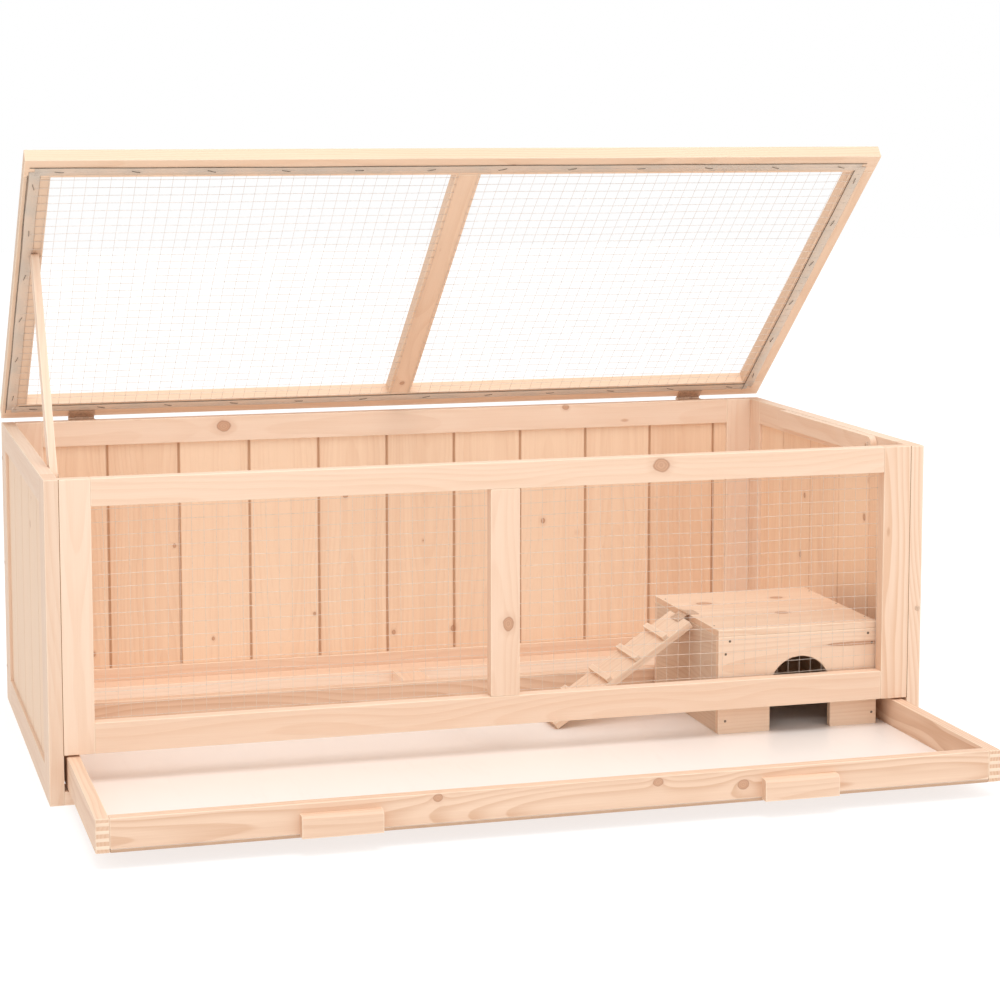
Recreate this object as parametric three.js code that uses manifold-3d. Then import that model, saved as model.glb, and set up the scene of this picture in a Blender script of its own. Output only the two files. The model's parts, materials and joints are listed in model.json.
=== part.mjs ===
// Long low wooden cage for a small pet: panelled sides and back, a mesh front, a hinged mesh lid
// held open by a prop stick, a pull-out floor tray, and a small hide house with a ramp.
// Millimetres, +Z up, +X along the length, +Y towards the back.
// The origin is the centre of the cage's footprint on the floor.
// The lid is propped open and the tray is partly pulled out.
import * as THREE from "three";
import { mergeVertices } from "three/addons/utils/BufferGeometryUtils.js";
import Module from "manifold-3d";

const wasm = await Module();
wasm.setup();

// ---------- Driving dimensions ----------
const WIDTH = 1150; // outside length of the cage, along X
const DEPTH = 590; // outside depth, along Y
const HEIGHT = 400; // floor to the top of the rails
const TIMBER = 18; // thickness of every frame member

const STILE = 38; // face width of the front and back stiles, and of the bottom rails
const SIDE_STILE = 56; // face width of the side panels' stiles
const FRONT_TOP_RAIL = 34;
const BACK_TOP_RAIL = 36;
const SIDE_TOP_RAIL = 35;
const FRONT_LOW = 62; // underside of the front frame, above the tray

const BOARD = { thick: 9, recess: 4.5, cover: 102.9, groove: 2, grooveWidth: 4.5 };
const BACK_FIRST_GROOVE = 91; // from the left edge of the back boards
const SIDE_FIRST_GROOVE = 84.5; // from the front edge of the side boards

const MESH = { thick: 0.5, lap: 30, gap: 0.3 };
const FRONT_MESH_LAP = 8; // how far the front mesh laps past the rails' inner edges at top and bottom

const BASE = { width: 40, frontHeight: 17, height: 19.5 };

const TRAY_OUT = 278; // how far the tray is pulled out
const TRAY = { sidePlay: 4, backPlay: 2, low: 20, floorTop: 24, top: 59.5, board: 16 };
const HANDLE = { length: 95, depth: 13, low: 22, high: 48, rounding: 6, left: -275, right: 286 };

const LID_ANGLE = 40; // degrees that the lid stands open
const LID_LENGTH = 580; // back edge to free edge
const LID_MEMBER = 34;
const LID_GAP = 2.5; // closed lid above the rails, filled by the hinge leaves
const LID_MESH = { side: 12, front: 18, back: 16 }; // mesh edges in from the lid's outer edges
const TURNED_GAP = 0.3; // space between touching pieces in turned groups

const LEAF = { thick: 1.1, length: 37, width: 15, knuckle: 2.6, pin: 1, play: 0.25 };
const HINGE_BACK = 4; // lid hinge axis behind the back panel
const HINGE_OFFSET = 462; // hinge centres from the middle of the cage

const PROP = { thick: 9.5, half: 12.5, length: 308, hole: 2.6, play: 0.5 };
const PROP_LEFT_FOOT = { y: 113.5, z: 388 }; // y from the front face
const PROP_RIGHT_FOOT = { y: 118, z: 386.5 };
const PROP_TOP_GAP = 0.4; // propped stick below the lid's mesh
const SCREW = { shank: 2.3, head: 4.5, headThick: 2 };

const HOUSE = { left: 297, front: 22, width: 226, depth: 250, height: 139, wall: 9 };
const DOOR = { width: 86, height: 98, offset: 3 }; // offset from the middle of the wall

const RAMP = { front: 105, width: 78, length: 236, thick: 9, start: 8, gap: 1.6, out: 4 };
const CLEAT = { width: 8, height: 6, count: 4 };
const RAMP_LEAF = { length: 30, width: 17, thick: 1, knuckle: 1.6, bore: 0.9, pin: 0.7, play: 0.15 };

const ROUND_SEGMENTS = 20;

// ---------- Materials ----------
const wood = (color) => new THREE.MeshStandardMaterial({ color, roughness: 0.7, metalness: 0 });
const metal = (color) => new THREE.MeshStandardMaterial({ color, roughness: 0.4, metalness: 0.9 });
const FRAME_WOOD = wood(0xf6dcb9);
const BOARD_WOOD = wood(0xeec9a0);
const LID_WOOD = wood(0xeccaa4);
const TRAY_WOOD = wood(0xf0d2aa);
const HOUSE_WOOD = wood(0xf2cfa4);
const WHITE_PANEL = new THREE.MeshStandardMaterial({ color: 0xf6ede6, roughness: 0.35 });
const WIRE = metal(0xc8c4bd);
const STEEL = metal(0xb3a288);

// ---------- Places that several parts share ----------
const LEFT = -WIDTH / 2;
const RIGHT = WIDTH / 2;
const FRONT = -DEPTH / 2;
const BACK = DEPTH / 2;
const INNER_LEFT = LEFT + TIMBER;
const INNER_RIGHT = RIGHT - TIMBER;
const INNER_FRONT = FRONT + TIMBER;
const INNER_BACK = BACK - TIMBER;
const HINGE_Y = BACK + HINGE_BACK;
const HINGE_Z = HEIGHT + LID_GAP / 2;
const LID_OPEN = THREE.MathUtils.degToRad(LID_ANGLE);

// ---------- Shape helpers ----------
function piece(name, material, geometry) {
  const mesh = new THREE.Mesh(geometry, material);
  mesh.name = name;
  return mesh;
}

// A box between two corners.
function boxGeometry(low, high) {
  const [dx, dy, dz] = high.map((v, i) => v - low[i]);
  const geometry = new THREE.BoxGeometry(dx, dy, dz);
  return geometry.translate(low[0] + dx / 2, low[1] + dy / 2, low[2] + dz / 2);
}

const block = (name, material, low, high) => piece(name, material, boxGeometry(low, high));

// An outline in (u, v), extruded along w by depth.
function extrude(shape, depth, curveSegments = 6) {
  return new THREE.ExtrudeGeometry(shape, { depth, bevelEnabled: false, curveSegments });
}

// Turns an extrusion so that u runs along +Y, v along +Z and w along +X.
const standAlongX = (geometry) => geometry.rotateX(Math.PI / 2).rotateZ(Math.PI / 2);

// Turns an extrusion so that u runs along +X, v along +Z and w along +Y, kept depth deep.
const standAlongY = (geometry, depth) => geometry.rotateX(Math.PI / 2).translate(0, depth, 0);

// A cylinder along "x" or "y", from one place on that axis to another.
function rod(axis, radius, from, to, [a, b]) {
  const geometry = new THREE.CylinderGeometry(radius, radius, to - from, ROUND_SEGMENTS);
  if (axis === "y") return geometry.translate(a, (from + to) / 2, b);
  return geometry.rotateZ(-Math.PI / 2).translate((from + to) / 2, a, b);
}

function toSolid(geometry) {
  const bare = geometry.index ? geometry.toNonIndexed() : geometry.clone();
  bare.deleteAttribute("normal");
  bare.deleteAttribute("uv");
  const merged = mergeVertices(bare, 1e-4);
  const vertProperties = merged.attributes.position.array;
  const triVerts = new Uint32Array(merged.index.array);
  return new wasm.Manifold(new wasm.Mesh({ numProp: 3, vertProperties, triVerts }));
}

function toGeometry(solid) {
  const mesh = solid.getMesh();
  const geometry = new THREE.BufferGeometry();
  geometry.setAttribute("position", new THREE.BufferAttribute(mesh.vertProperties, 3));
  geometry.setIndex(new THREE.BufferAttribute(mesh.triVerts, 1));
  geometry.computeVertexNormals();
  return geometry;
}

// Upright boards edge to edge, as one panel with V grooves on both faces:
// length along u, BOARD.thick along v, height along w.
function groovedPanel(length, height, firstGroove) {
  const { thick, cover, groove, grooveWidth } = BOARD;
  const half = grooveWidth / 2;
  const count = Math.ceil((length - firstGroove - half) / cover);
  const grooves = Array.from({ length: count }, (_, i) => firstGroove + i * cover);
  const near = grooves.flatMap((u) => [[u - half, 0], [u, groove], [u + half, 0]]);
  const far = near.map(([u, v]) => [u, thick - v]).reverse();
  const outline = [[0, 0], ...near, [length, 0], [length, thick], ...far, [0, thick]];
  return extrude(new THREE.Shape(outline.map(([u, v]) => new THREE.Vector2(u, v))), height);
}

// ---------- Side panels ----------
// One panelled side: two stiles, two rails between them, and boards set in the frame.
function sidePanel(side) {
  const outer = side === "left" ? LEFT : INNER_RIGHT;
  const low = FRONT + SIDE_STILE;
  const high = BACK - SIDE_STILE;
  const railLow = HEIGHT - SIDE_TOP_RAIL;
  const panel = new THREE.Group();
  const member = (name, y0, y1, z0, z1) =>
    panel.add(block(`${side}_${name}`, FRAME_WOOD, [outer, y0, z0], [outer + TIMBER, y1, z1]));
  member("front_stile", FRONT, low, 0, HEIGHT);
  member("back_stile", high, BACK, 0, HEIGHT);
  member("top_rail", low, high, railLow, HEIGHT);
  member("bottom_rail", low, high, 0, STILE);

  const boards = groovedPanel(high - low, railLow - STILE, SIDE_FIRST_GROOVE);
  boards.rotateZ(Math.PI / 2);
  boards.translate(outer + BOARD.recess + BOARD.thick, low, STILE);
  panel.add(piece(`${side}_boards`, BOARD_WOOD, boards));
  return panel;
}

// ---------- Back panel ----------
function backPanel() {
  const low = INNER_LEFT + STILE;
  const high = INNER_RIGHT - STILE;
  const railLow = HEIGHT - BACK_TOP_RAIL;
  const panel = new THREE.Group();
  const member = (name, x0, x1, z0, z1) =>
    panel.add(block(`back_${name}`, FRAME_WOOD, [x0, INNER_BACK, z0], [x1, BACK, z1]));
  member("left_stile", INNER_LEFT, low, 0, HEIGHT);
  member("right_stile", high, INNER_RIGHT, 0, HEIGHT);
  member("top_rail", low, high, railLow, HEIGHT);
  member("bottom_rail", low, high, 0, STILE);

  const boards = groovedPanel(high - low, railLow - STILE, BACK_FIRST_GROOVE);
  boards.translate(low, INNER_BACK + BOARD.recess, STILE);
  panel.add(piece("back_boards", BOARD_WOOD, boards));
  return panel;
}

// ---------- Front frame ----------
function frontFrame() {
  const low = INNER_LEFT + STILE;
  const high = INNER_RIGHT - STILE;
  const openLow = FRONT_LOW + STILE;
  const openHigh = HEIGHT - FRONT_TOP_RAIL;
  const frame = new THREE.Group();
  const member = (name, x0, x1, z0, z1) =>
    frame.add(block(`front_${name}`, FRAME_WOOD, [x0, FRONT, z0], [x1, INNER_FRONT, z1]));
  member("left_stile", INNER_LEFT, low, FRONT_LOW, HEIGHT);
  member("right_stile", high, INNER_RIGHT, FRONT_LOW, HEIGHT);
  member("top_rail", low, high, openHigh, HEIGHT);
  member("bottom_rail", low, high, FRONT_LOW, openLow);
  member("center_stile", -STILE / 2, STILE / 2, openLow, openHigh);

  const face = INNER_FRONT + MESH.gap;
  frame.add(
    block(
      "front_mesh",
      WIRE,
      [low - MESH.lap, face, FRONT_LOW + FRONT_MESH_LAP],
      [high + MESH.lap, face + MESH.thick, HEIGHT - FRONT_MESH_LAP],
    ),
  );
  return frame;
}

// ---------- Base rails under the tray ----------
function baseRails() {
  const base = new THREE.Group();
  const frontEdge = FRONT + BASE.width;
  const backEdge = INNER_BACK - BASE.width;
  const half = BASE.width / 2;
  const rail = (name, low, high) => base.add(block(`base_${name}`, FRAME_WOOD, low, high));
  rail("front_rail", [INNER_LEFT, FRONT, 0], [INNER_RIGHT, frontEdge, BASE.frontHeight]);
  rail("back_rail", [INNER_LEFT, backEdge, 0], [INNER_RIGHT, INNER_BACK, BASE.height]);
  rail("center_bearer", [-half, frontEdge, 0], [half, backEdge, BASE.height]);
  return base;
}

// ---------- Tray ----------
// Built pushed in, then pulled out by its group.
function tray() {
  const group = new THREE.Group();
  group.position.y = -TRAY_OUT;
  const { low, floorTop, top } = TRAY;
  const outer0 = INNER_LEFT + TRAY.sidePlay;
  const outer1 = INNER_RIGHT - TRAY.sidePlay;
  const inner0 = outer0 + TRAY.board;
  const inner1 = outer1 - TRAY.board;
  const back = INNER_BACK - TRAY.backPlay;
  const board = (name, from, to) => group.add(block(`tray_${name}`, TRAY_WOOD, from, to));
  board("left_board", [outer0, FRONT, low], [inner0, back, top]);
  board("right_board", [inner1, FRONT, low], [outer1, back, top]);
  board("front_board", [inner0, FRONT, floorTop], [inner1, FRONT + TRAY.board, top]);
  board("back_board", [inner0, back - TRAY.board, floorTop], [inner1, back, top]);
  group.add(block("tray_floor", WHITE_PANEL, [inner0, FRONT, low], [inner1, back, floorTop]));
  group.add(handle("tray_handle_left", HANDLE.left), handle("tray_handle_right", HANDLE.right));
  return group;
}

// A grip block on the tray's front, rounded along its upper front edge.
function handle(name, x) {
  const { length, depth, low, high, rounding } = HANDLE;
  const shape = new THREE.Shape();
  shape.moveTo(0, low);
  shape.lineTo(0, high);
  shape.lineTo(rounding - depth, high);
  shape.absarc(rounding - depth, high - rounding, rounding, Math.PI / 2, Math.PI, false);
  shape.lineTo(-depth, low);
  shape.closePath();
  const grip = standAlongX(extrude(shape, length));
  return piece(name, TRAY_WOOD, grip.translate(x - length / 2, FRONT, 0));
}

// ---------- Lid ----------
// Built closed, about the hinge axis, then turned open by its group.
function lid() {
  const group = new THREE.Group();
  group.position.set(0, HINGE_Y, HINGE_Z);
  group.rotation.x = -LID_OPEN;
  const under = LID_GAP / 2;
  const back = -HINGE_BACK;
  const front = back - LID_LENGTH;
  const inner0 = front + LID_MEMBER;
  const inner1 = back - LID_MEMBER;
  const half = LID_MEMBER / 2;
  const member = (name, x0, x1, y0, y1) =>
    group.add(block(`lid_${name}`, LID_WOOD, [x0, y0, under], [x1, y1, under + TIMBER]));
  const upright = (name, x0, x1) => member(name, x0, x1, inner0 + TURNED_GAP, inner1 - TURNED_GAP);
  member("front_rail", LEFT, RIGHT, front, inner0);
  member("back_rail", LEFT, RIGHT, inner1, back);
  upright("left_stile", LEFT, LEFT + LID_MEMBER);
  upright("right_stile", RIGHT - LID_MEMBER, RIGHT);
  upright("center_bar", -half, half);

  const sheetTop = under - MESH.gap;
  group.add(
    block(
      "lid_mesh",
      WIRE,
      [LEFT + LID_MESH.side, front + LID_MESH.front, sheetTop - MESH.thick],
      [RIGHT - LID_MESH.side, back - LID_MESH.back, sheetTop],
    ),
  );
  for (const [side, x] of hingePlaces) {
    group.add(hingeLeaf(`hinge_${side}_lid_leaf`, x, [1], [0, 0], back, under - LEAF.play / 2));
  }
  return group;
}

// ---------- Lid hinges ----------
const hingePlaces = [
  ["left", -HINGE_OFFSET],
  ["right", HINGE_OFFSET],
];

// One leaf of a butt hinge. It holds the knuckles numbered in parts, out of 0, 1 and 2.
// edge is the wood's back edge, and top is the leaf's upper face.
function hingeLeaf(name, x, parts, axis, edge, top) {
  const half = LEAF.length / 2;
  const third = LEAF.length / 3;
  const clear = axis[0] - LEAF.knuckle - LEAF.play;
  const low = top - LEAF.thick;
  const plate = toSolid(boxGeometry([x - half, edge - LEAF.width, low], [x + half, clear, top]));
  const joined = parts.reduce((all, part) => {
    const from = x - half + part * third + LEAF.play;
    const to = from + third - 2 * LEAF.play;
    const arm = toSolid(boxGeometry([from, clear - 1, low], [to, axis[0], top]));
    return all.add(arm).add(toSolid(rod("x", LEAF.knuckle, from, to, axis)));
  }, plate);
  const bore = toSolid(rod("x", LEAF.pin + LEAF.play, x - LEAF.length, x + LEAF.length, axis));
  return piece(name, STEEL, toGeometry(joined.subtract(bore)));
}

function boxHinges() {
  const group = new THREE.Group();
  const axis = [HINGE_Y, HINGE_Z];
  const half = LEAF.length / 2;
  for (const [side, x] of hingePlaces) {
    const leafTop = HEIGHT + LEAF.thick;
    group.add(hingeLeaf(`hinge_${side}_box_leaf`, x, [0, 2], axis, BACK, leafTop));
    group.add(piece(`hinge_${side}_pin`, STEEL, rod("x", LEAF.pin, x - half, x + half, axis)));
  }
  return group;
}

// ---------- Prop sticks ----------
// The elevation at which the left stick's top touches the open lid from below.
function propElevation() {
  const footY = FRONT + PROP_LEFT_FOOT.y - HINGE_Y;
  const footZ = PROP_LEFT_FOOT.z - HINGE_Z;
  const meshUnder = LID_GAP / 2 - MESH.gap - MESH.thick;
  const centre = meshUnder - PROP_TOP_GAP - PROP.half;
  const rise = centre - footY * Math.sin(LID_OPEN) - footZ * Math.cos(LID_OPEN);
  return Math.PI - Math.asin(rise / PROP.length) - LID_OPEN;
}

// A flat stick with round ends, from its foot at the origin along +Y.
function stickGeometry() {
  const { half, length, hole, thick } = PROP;
  const shape = new THREE.Shape();
  shape.moveTo(0, -half);
  shape.lineTo(length, -half);
  shape.absarc(length, 0, half, -Math.PI / 2, Math.PI / 2, false);
  shape.lineTo(0, half);
  shape.absarc(0, 0, half, Math.PI / 2, (3 * Math.PI) / 2, false);
  const pivot = new THREE.Path();
  pivot.absarc(0, 0, hole, 0, 2 * Math.PI, true);
  shape.holes.push(pivot);
  return standAlongX(extrude(shape, thick, 12));
}

// A round-headed screw along X. The head is at the positive end, and the shank fills the stick.
function screwGeometry() {
  const { shank, head, headThick } = SCREW;
  const shankLength = PROP.thick + TURNED_GAP;
  const profile = [
    [0, 0],
    [shank, 0],
    [shank, shankLength],
    [head, shankLength],
    [head * 0.6, shankLength + headThick],
    [0, shankLength + headThick],
  ];
  const points = profile.map(([r, h]) => new THREE.Vector2(r, h));
  return new THREE.LatheGeometry(points, ROUND_SEGMENTS).rotateZ(-Math.PI / 2);
}

function props() {
  const left = new THREE.Group();
  left.position.set(INNER_LEFT + PROP.play, FRONT + PROP_LEFT_FOOT.y, PROP_LEFT_FOOT.z);
  left.rotation.x = propElevation();
  left.add(piece("prop_left", FRAME_WOOD, stickGeometry()));
  left.add(piece("prop_left_screw", STEEL, screwGeometry()));

  const right = new THREE.Group();
  right.position.set(INNER_RIGHT - PROP.play, FRONT + PROP_RIGHT_FOOT.y, PROP_RIGHT_FOOT.z);
  const stick = piece("prop_right", FRAME_WOOD, stickGeometry());
  stick.position.x = -PROP.thick;
  const screw = piece("prop_right_screw", STEEL, screwGeometry());
  screw.rotation.z = Math.PI;
  right.add(stick, screw);
  return [left, right];
}

// ---------- Hide house ----------
function house() {
  const group = new THREE.Group();
  group.position.set(HOUSE.left, FRONT + HOUSE.front, TRAY.floorTop);
  const { width, depth, height, wall } = HOUSE;
  const top = height - wall;
  group.add(piece("house_front_wall", HOUSE_WOOD, doorWall(width, top, wall)));
  const board = (name, low, high) => group.add(block(`house_${name}`, HOUSE_WOOD, low, high));
  board("back_wall", [0, depth - wall, 0], [width, depth, top]);
  board("left_wall", [0, wall, 0], [wall, depth - wall, top]);
  board("right_wall", [width - wall, wall, 0], [width, depth - wall, top]);
  board("roof", [0, 0, top], [width, depth, height]);
  return group;
}

// The front wall, with an arched doorway open at the bottom.
function doorWall(width, height, thick) {
  const half = DOOR.width / 2;
  const middle = width / 2 + DOOR.offset;
  const spring = DOOR.height - half;
  const shape = new THREE.Shape();
  shape.moveTo(0, 0);
  shape.lineTo(middle - half, 0);
  shape.lineTo(middle - half, spring);
  shape.absarc(middle, spring, half, Math.PI, 0, true);
  shape.lineTo(middle + half, 0);
  shape.lineTo(width, 0);
  shape.lineTo(width, height);
  shape.lineTo(0, height);
  shape.closePath();
  return standAlongY(extrude(shape, thick, 24), thick);
}

// ---------- Ramp ----------
// It hangs on a small hinge at the roof's left edge, and its foot stands on the tray's floor.
const RAMP_AXIS = [
  HOUSE.left - RAMP.out,
  FRONT + RAMP.front + RAMP.width / 2,
  TRAY.floorTop + HOUSE.height + RAMP.gap,
];

// The slope at which the ramp's lowest corner is just above the tray's floor.
function rampSlope() {
  const drop = HOUSE.height + RAMP.gap - TURNED_GAP;
  const under = RAMP.gap + RAMP.thick;
  return Math.asin(drop / Math.hypot(RAMP.length, under)) - Math.atan2(under, RAMP.length);
}

// Built level, running towards -X from the hinge axis, then turned down by its group.
function ramp() {
  const group = new THREE.Group();
  group.position.set(...RAMP_AXIS);
  group.rotation.y = -rampSlope();
  const { length, start, gap, thick } = RAMP;
  const half = RAMP.width / 2;
  const wooden = (name, low, high) => group.add(block(`ramp_${name}`, HOUSE_WOOD, low, high));
  wooden("board", [-length, -half, -gap - thick], [-start, half, -gap]);
  const low = TURNED_GAP - gap;
  for (let i = 1; i <= CLEAT.count; i += 1) {
    const x = (-length * i) / (CLEAT.count + 1) - CLEAT.width / 2;
    wooden(`cleat_${i}`, [x, -half, low], [x + CLEAT.width, half, low + CLEAT.height]);
  }
  group.add(piece("ramp_hinge_leaf", STEEL, rampLeaf(-1, [0], low)));
  return group;
}

// One leaf of the ramp's hinge about the Y axis, reaching out on the side that sign gives.
// It holds the knuckles numbered in parts, out of -1, 0 and 1, and low is its lower face.
function rampLeaf(sign, parts, low) {
  const { length, width, thick, knuckle, bore, play } = RAMP_LEAF;
  const third = length / 3;
  const high = low + thick;
  const clear = knuckle + play;
  const across = (a, b, y0, y1) =>
    boxGeometry([Math.min(sign * a, sign * b), y0, low], [Math.max(sign * a, sign * b), y1, high]);
  const plate = toSolid(across(clear, width, -length / 2, length / 2));
  const joined = parts.reduce((all, part) => {
    const from = (part - 0.5) * third + play;
    const to = from + third - 2 * play;
    const arm = toSolid(across(0, clear + 1, from, to));
    return all.add(arm).add(toSolid(rod("y", knuckle, from, to, [0, 0])));
  }, plate);
  return toGeometry(joined.subtract(toSolid(rod("y", bore, -length, length, [0, 0]))));
}

function roofHinge() {
  const group = new THREE.Group();
  group.position.set(...RAMP_AXIS);
  const half = RAMP_LEAF.length / 2;
  group.add(piece("ramp_hinge_roof_leaf", STEEL, rampLeaf(1, [-1, 1], -RAMP.gap)));
  group.add(piece("ramp_hinge_pin", STEEL, rod("y", RAMP_LEAF.pin, -half, half, [0, 0])));
  return group;
}

// ---------- Assembly ----------
const hutch = new THREE.Group();
hutch.add(sidePanel("left"), sidePanel("right"), backPanel(), frontFrame(), baseRails());
hutch.add(tray(), lid(), boxHinges(), ...props());
hutch.add(house(), roofHinge(), ramp());

export default hutch;
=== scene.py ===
"""Looks for a long low wooden cage: bare pine, welded wire, hinges, staples and nails."""

import json
import math
import random

import bmesh
import bpy
from mathutils import Matrix, Vector


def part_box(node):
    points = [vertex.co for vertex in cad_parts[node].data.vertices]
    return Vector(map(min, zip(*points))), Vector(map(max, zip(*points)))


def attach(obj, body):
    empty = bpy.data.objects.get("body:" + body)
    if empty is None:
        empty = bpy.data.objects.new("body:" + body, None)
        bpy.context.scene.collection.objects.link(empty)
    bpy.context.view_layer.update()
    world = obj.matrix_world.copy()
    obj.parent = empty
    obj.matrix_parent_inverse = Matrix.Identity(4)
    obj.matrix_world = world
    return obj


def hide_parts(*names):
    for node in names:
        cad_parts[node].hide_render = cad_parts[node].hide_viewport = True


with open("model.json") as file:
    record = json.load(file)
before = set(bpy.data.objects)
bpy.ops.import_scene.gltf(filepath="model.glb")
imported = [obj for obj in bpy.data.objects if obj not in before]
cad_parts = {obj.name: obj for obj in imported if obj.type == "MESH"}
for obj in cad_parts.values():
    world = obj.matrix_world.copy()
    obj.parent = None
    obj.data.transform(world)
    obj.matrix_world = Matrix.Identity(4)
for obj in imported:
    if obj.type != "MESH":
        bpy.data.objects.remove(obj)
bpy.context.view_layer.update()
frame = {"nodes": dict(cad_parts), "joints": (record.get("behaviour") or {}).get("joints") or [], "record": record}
NODES = frame["nodes"]
MM = 0.001

# ---------- Camera ----------
CAMERA_PLACE = (-0.8636, -3.2835, 0.8358)
CAMERA_YAW = 15.99  # degrees to the right of +Y
CAMERA_DROP = 6.55  # degrees below level
CAMERA_LENS = 89.9
CAMERA_SHIFT = -0.10

# ---------- Studio ----------
WORLD_LIGHT = 0.95
WORLD_LEFT = 0.70  # the studio is darker on the cage's left
FLOOR_GLOW = 0.70  # the floor is a light table, so the cage casts hardly any shadow
# name, place, what it points at, size and watts
LIGHTS = [
    ("key", (-0.2, -1.7, 4.2), (0.1, -0.2, 0.1), (2.6, 2.2), 78.0),
    ("fill", (2.6, -2.4, 2.4), (0.0, 0.0, 0.3), (1.8, 1.8), 6.0),
]
FLOOR_SIZE = 12.0

# ---------- Colours, in linear light ----------
FRAME_LIGHT = (0.90, 0.675, 0.515)
FRAME_DARK = (0.78, 0.50, 0.33)
BOARD_LIGHT = (0.92, 0.66, 0.465)
BOARD_DARK = (0.73, 0.43, 0.26)
# The lid's pine is darker than the frame's: painted shade for the lid's shaded underside, laid over the whole lid.
LID_SHADED_LIGHT = (0.85, 0.61, 0.435)
LID_SHADED_DARK = (0.70, 0.43, 0.26)
TRAY_LIGHT = (0.86, 0.615, 0.45)
TRAY_DARK = (0.66, 0.39, 0.24)
HOUSE_LIGHT = (0.90, 0.67, 0.50)
HOUSE_DARK = (0.72, 0.43, 0.26)
GROOVE_SHADE_BROWN = (0.46, 0.23, 0.12, 1)
KNOT_RIM = (0.38, 0.165, 0.085, 1)
KNOT_CORE = (0.62, 0.345, 0.21, 1)
PANEL_WHITE = (0.91, 0.84, 0.79)

# ---------- Wire ----------
WIRE_RADIUS = 0.29 * MM
WIRE_PITCH_ACROSS = 15.4 * MM
WIRE_PITCH_ALONG = 16.0 * MM
WIRE_SIDES = 6
HEM_WIDTH = 15 * MM
HEM_THICK = 1.0 * MM
STAPLE_GAP = 92 * MM

# The lid's hem, in metres: the middles of its side bands, and where the painted shadow lines along the hem's edges
# lie.
LID_HEM_LEFT = -0.5615
LID_HEM_RIGHT = 0.5525
SHADOW_LINE_LEFT = -0.5695
SHADOW_LINE_RIGHT = 0.5455
SHADOW_LINE_FREE_END = (-0.568, 0.559)
SHADOW_LINE_HINGE_END = (-0.552, 0.545)
SHADOW_LINE_RADIUS = 0.42 * MM
LID_LAP = 4 * MM

BOARD_COVER = 102.9 * MM
ONE_BOARD = 10.0  # metres, wider than any part, so a part that isn't a panel counts as one board
PLANK_BEVEL = 1.1 * MM
SMALL_BEVEL = 0.4 * MM
STEEL_BEVEL = 0.12 * MM

# The knots that stand out, each placed to a twentieth of its board.
# Node -> (place along the grain, place across it, radius in mm, stretch along the grain if any).
KNOTS = {
    "front_top_rail": [(0.7, 0.65, 8.5)],
    "front_center_stile": [(0.35, 0.6, 7.0)],
    "back_top_rail": [(0.25, 0.6, 8.0), (0.75, 0.9, 4.0)],
    "lid_front_rail": [(0.55, 0.5, 4.0)],
    "lid_center_bar": [(0.95, 0.5, 3.5)],
    "tray_front_board": [(0.35, 0.85, 4.5), (0.6, 0.8, 5.0), (0.7, 0.5, 5.5)],
    "house_roof": [(0.2, 0.7, 9.0), (0.7, 0.75, 7.0), (0.55, 0.35, 7.5)],
    "house_front_wall": [(0.85, 0.85, 2.5, 12.0)],
}

# Small knots scattered over the board panels: node -> (how many, seed).
SCATTERED_KNOTS = {"back_boards": (18, 4), "left_boards": (3, 2), "right_boards": (3, 5)}
SMALLEST_KNOT = 2.0
LARGEST_KNOT = 4.5


# ---------- Node trees ----------
class Tree:
    """Adds shader nodes and wires them as it goes."""

    def __init__(self, tree):
        self.tree = tree

    def add(self, kind, inputs, **settings):
        node = self.tree.nodes.new(kind)
        for name, value in settings.items():
            setattr(node, name, value)
        for key, value in inputs.items():
            self.feed(node.inputs[key], value)
        return node

    def feed(self, socket, value):
        if isinstance(value, bpy.types.NodeSocket):
            self.tree.links.new(value, socket)
        else:
            socket.default_value = value

    def math(self, operation, a, b=0.0, clamp=False):
        node = self.add("ShaderNodeMath", {0: a, 1: b}, operation=operation, use_clamp=clamp)
        return node.outputs[0]

    def vector(self, operation, a, b=(0, 0, 0)):
        node = self.add("ShaderNodeVectorMath", {0: a, 1: b}, operation=operation)
        return node.outputs["Value" if operation in ("LENGTH", "DOT_PRODUCT") else "Vector"]

    def split(self, vector):
        return self.add("ShaderNodeSeparateXYZ", {0: vector}).outputs

    def join(self, x, y, z):
        return self.add("ShaderNodeCombineXYZ", {0: x, 1: y, 2: z}).outputs[0]

    def noise(self, place, scale, detail=2.0, roughness=0.5):
        stretched = self.vector("MULTIPLY", place, scale)
        inputs = {"Vector": stretched, "Scale": 1.0, "Detail": detail, "Roughness": roughness}
        return self.add("ShaderNodeTexNoise", inputs).outputs[0]

    def step(self, value, low, high):
        """0 below low, 1 above high, and smooth between them. low may be above high."""
        inputs = {"Value": value, "From Min": low, "From Max": high}
        return self.add("ShaderNodeMapRange", inputs, interpolation_type="SMOOTHSTEP").outputs[0]

    def mix(self, factor, a, b):
        node = self.add("ShaderNodeMix", {0: factor, 6: a, 7: b}, data_type="RGBA")
        return node.outputs[2]

    def fade(self, factor, a, b):
        return self.add("ShaderNodeMix", {0: factor, 2: a, 3: b}, data_type="FLOAT").outputs[0]


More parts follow.
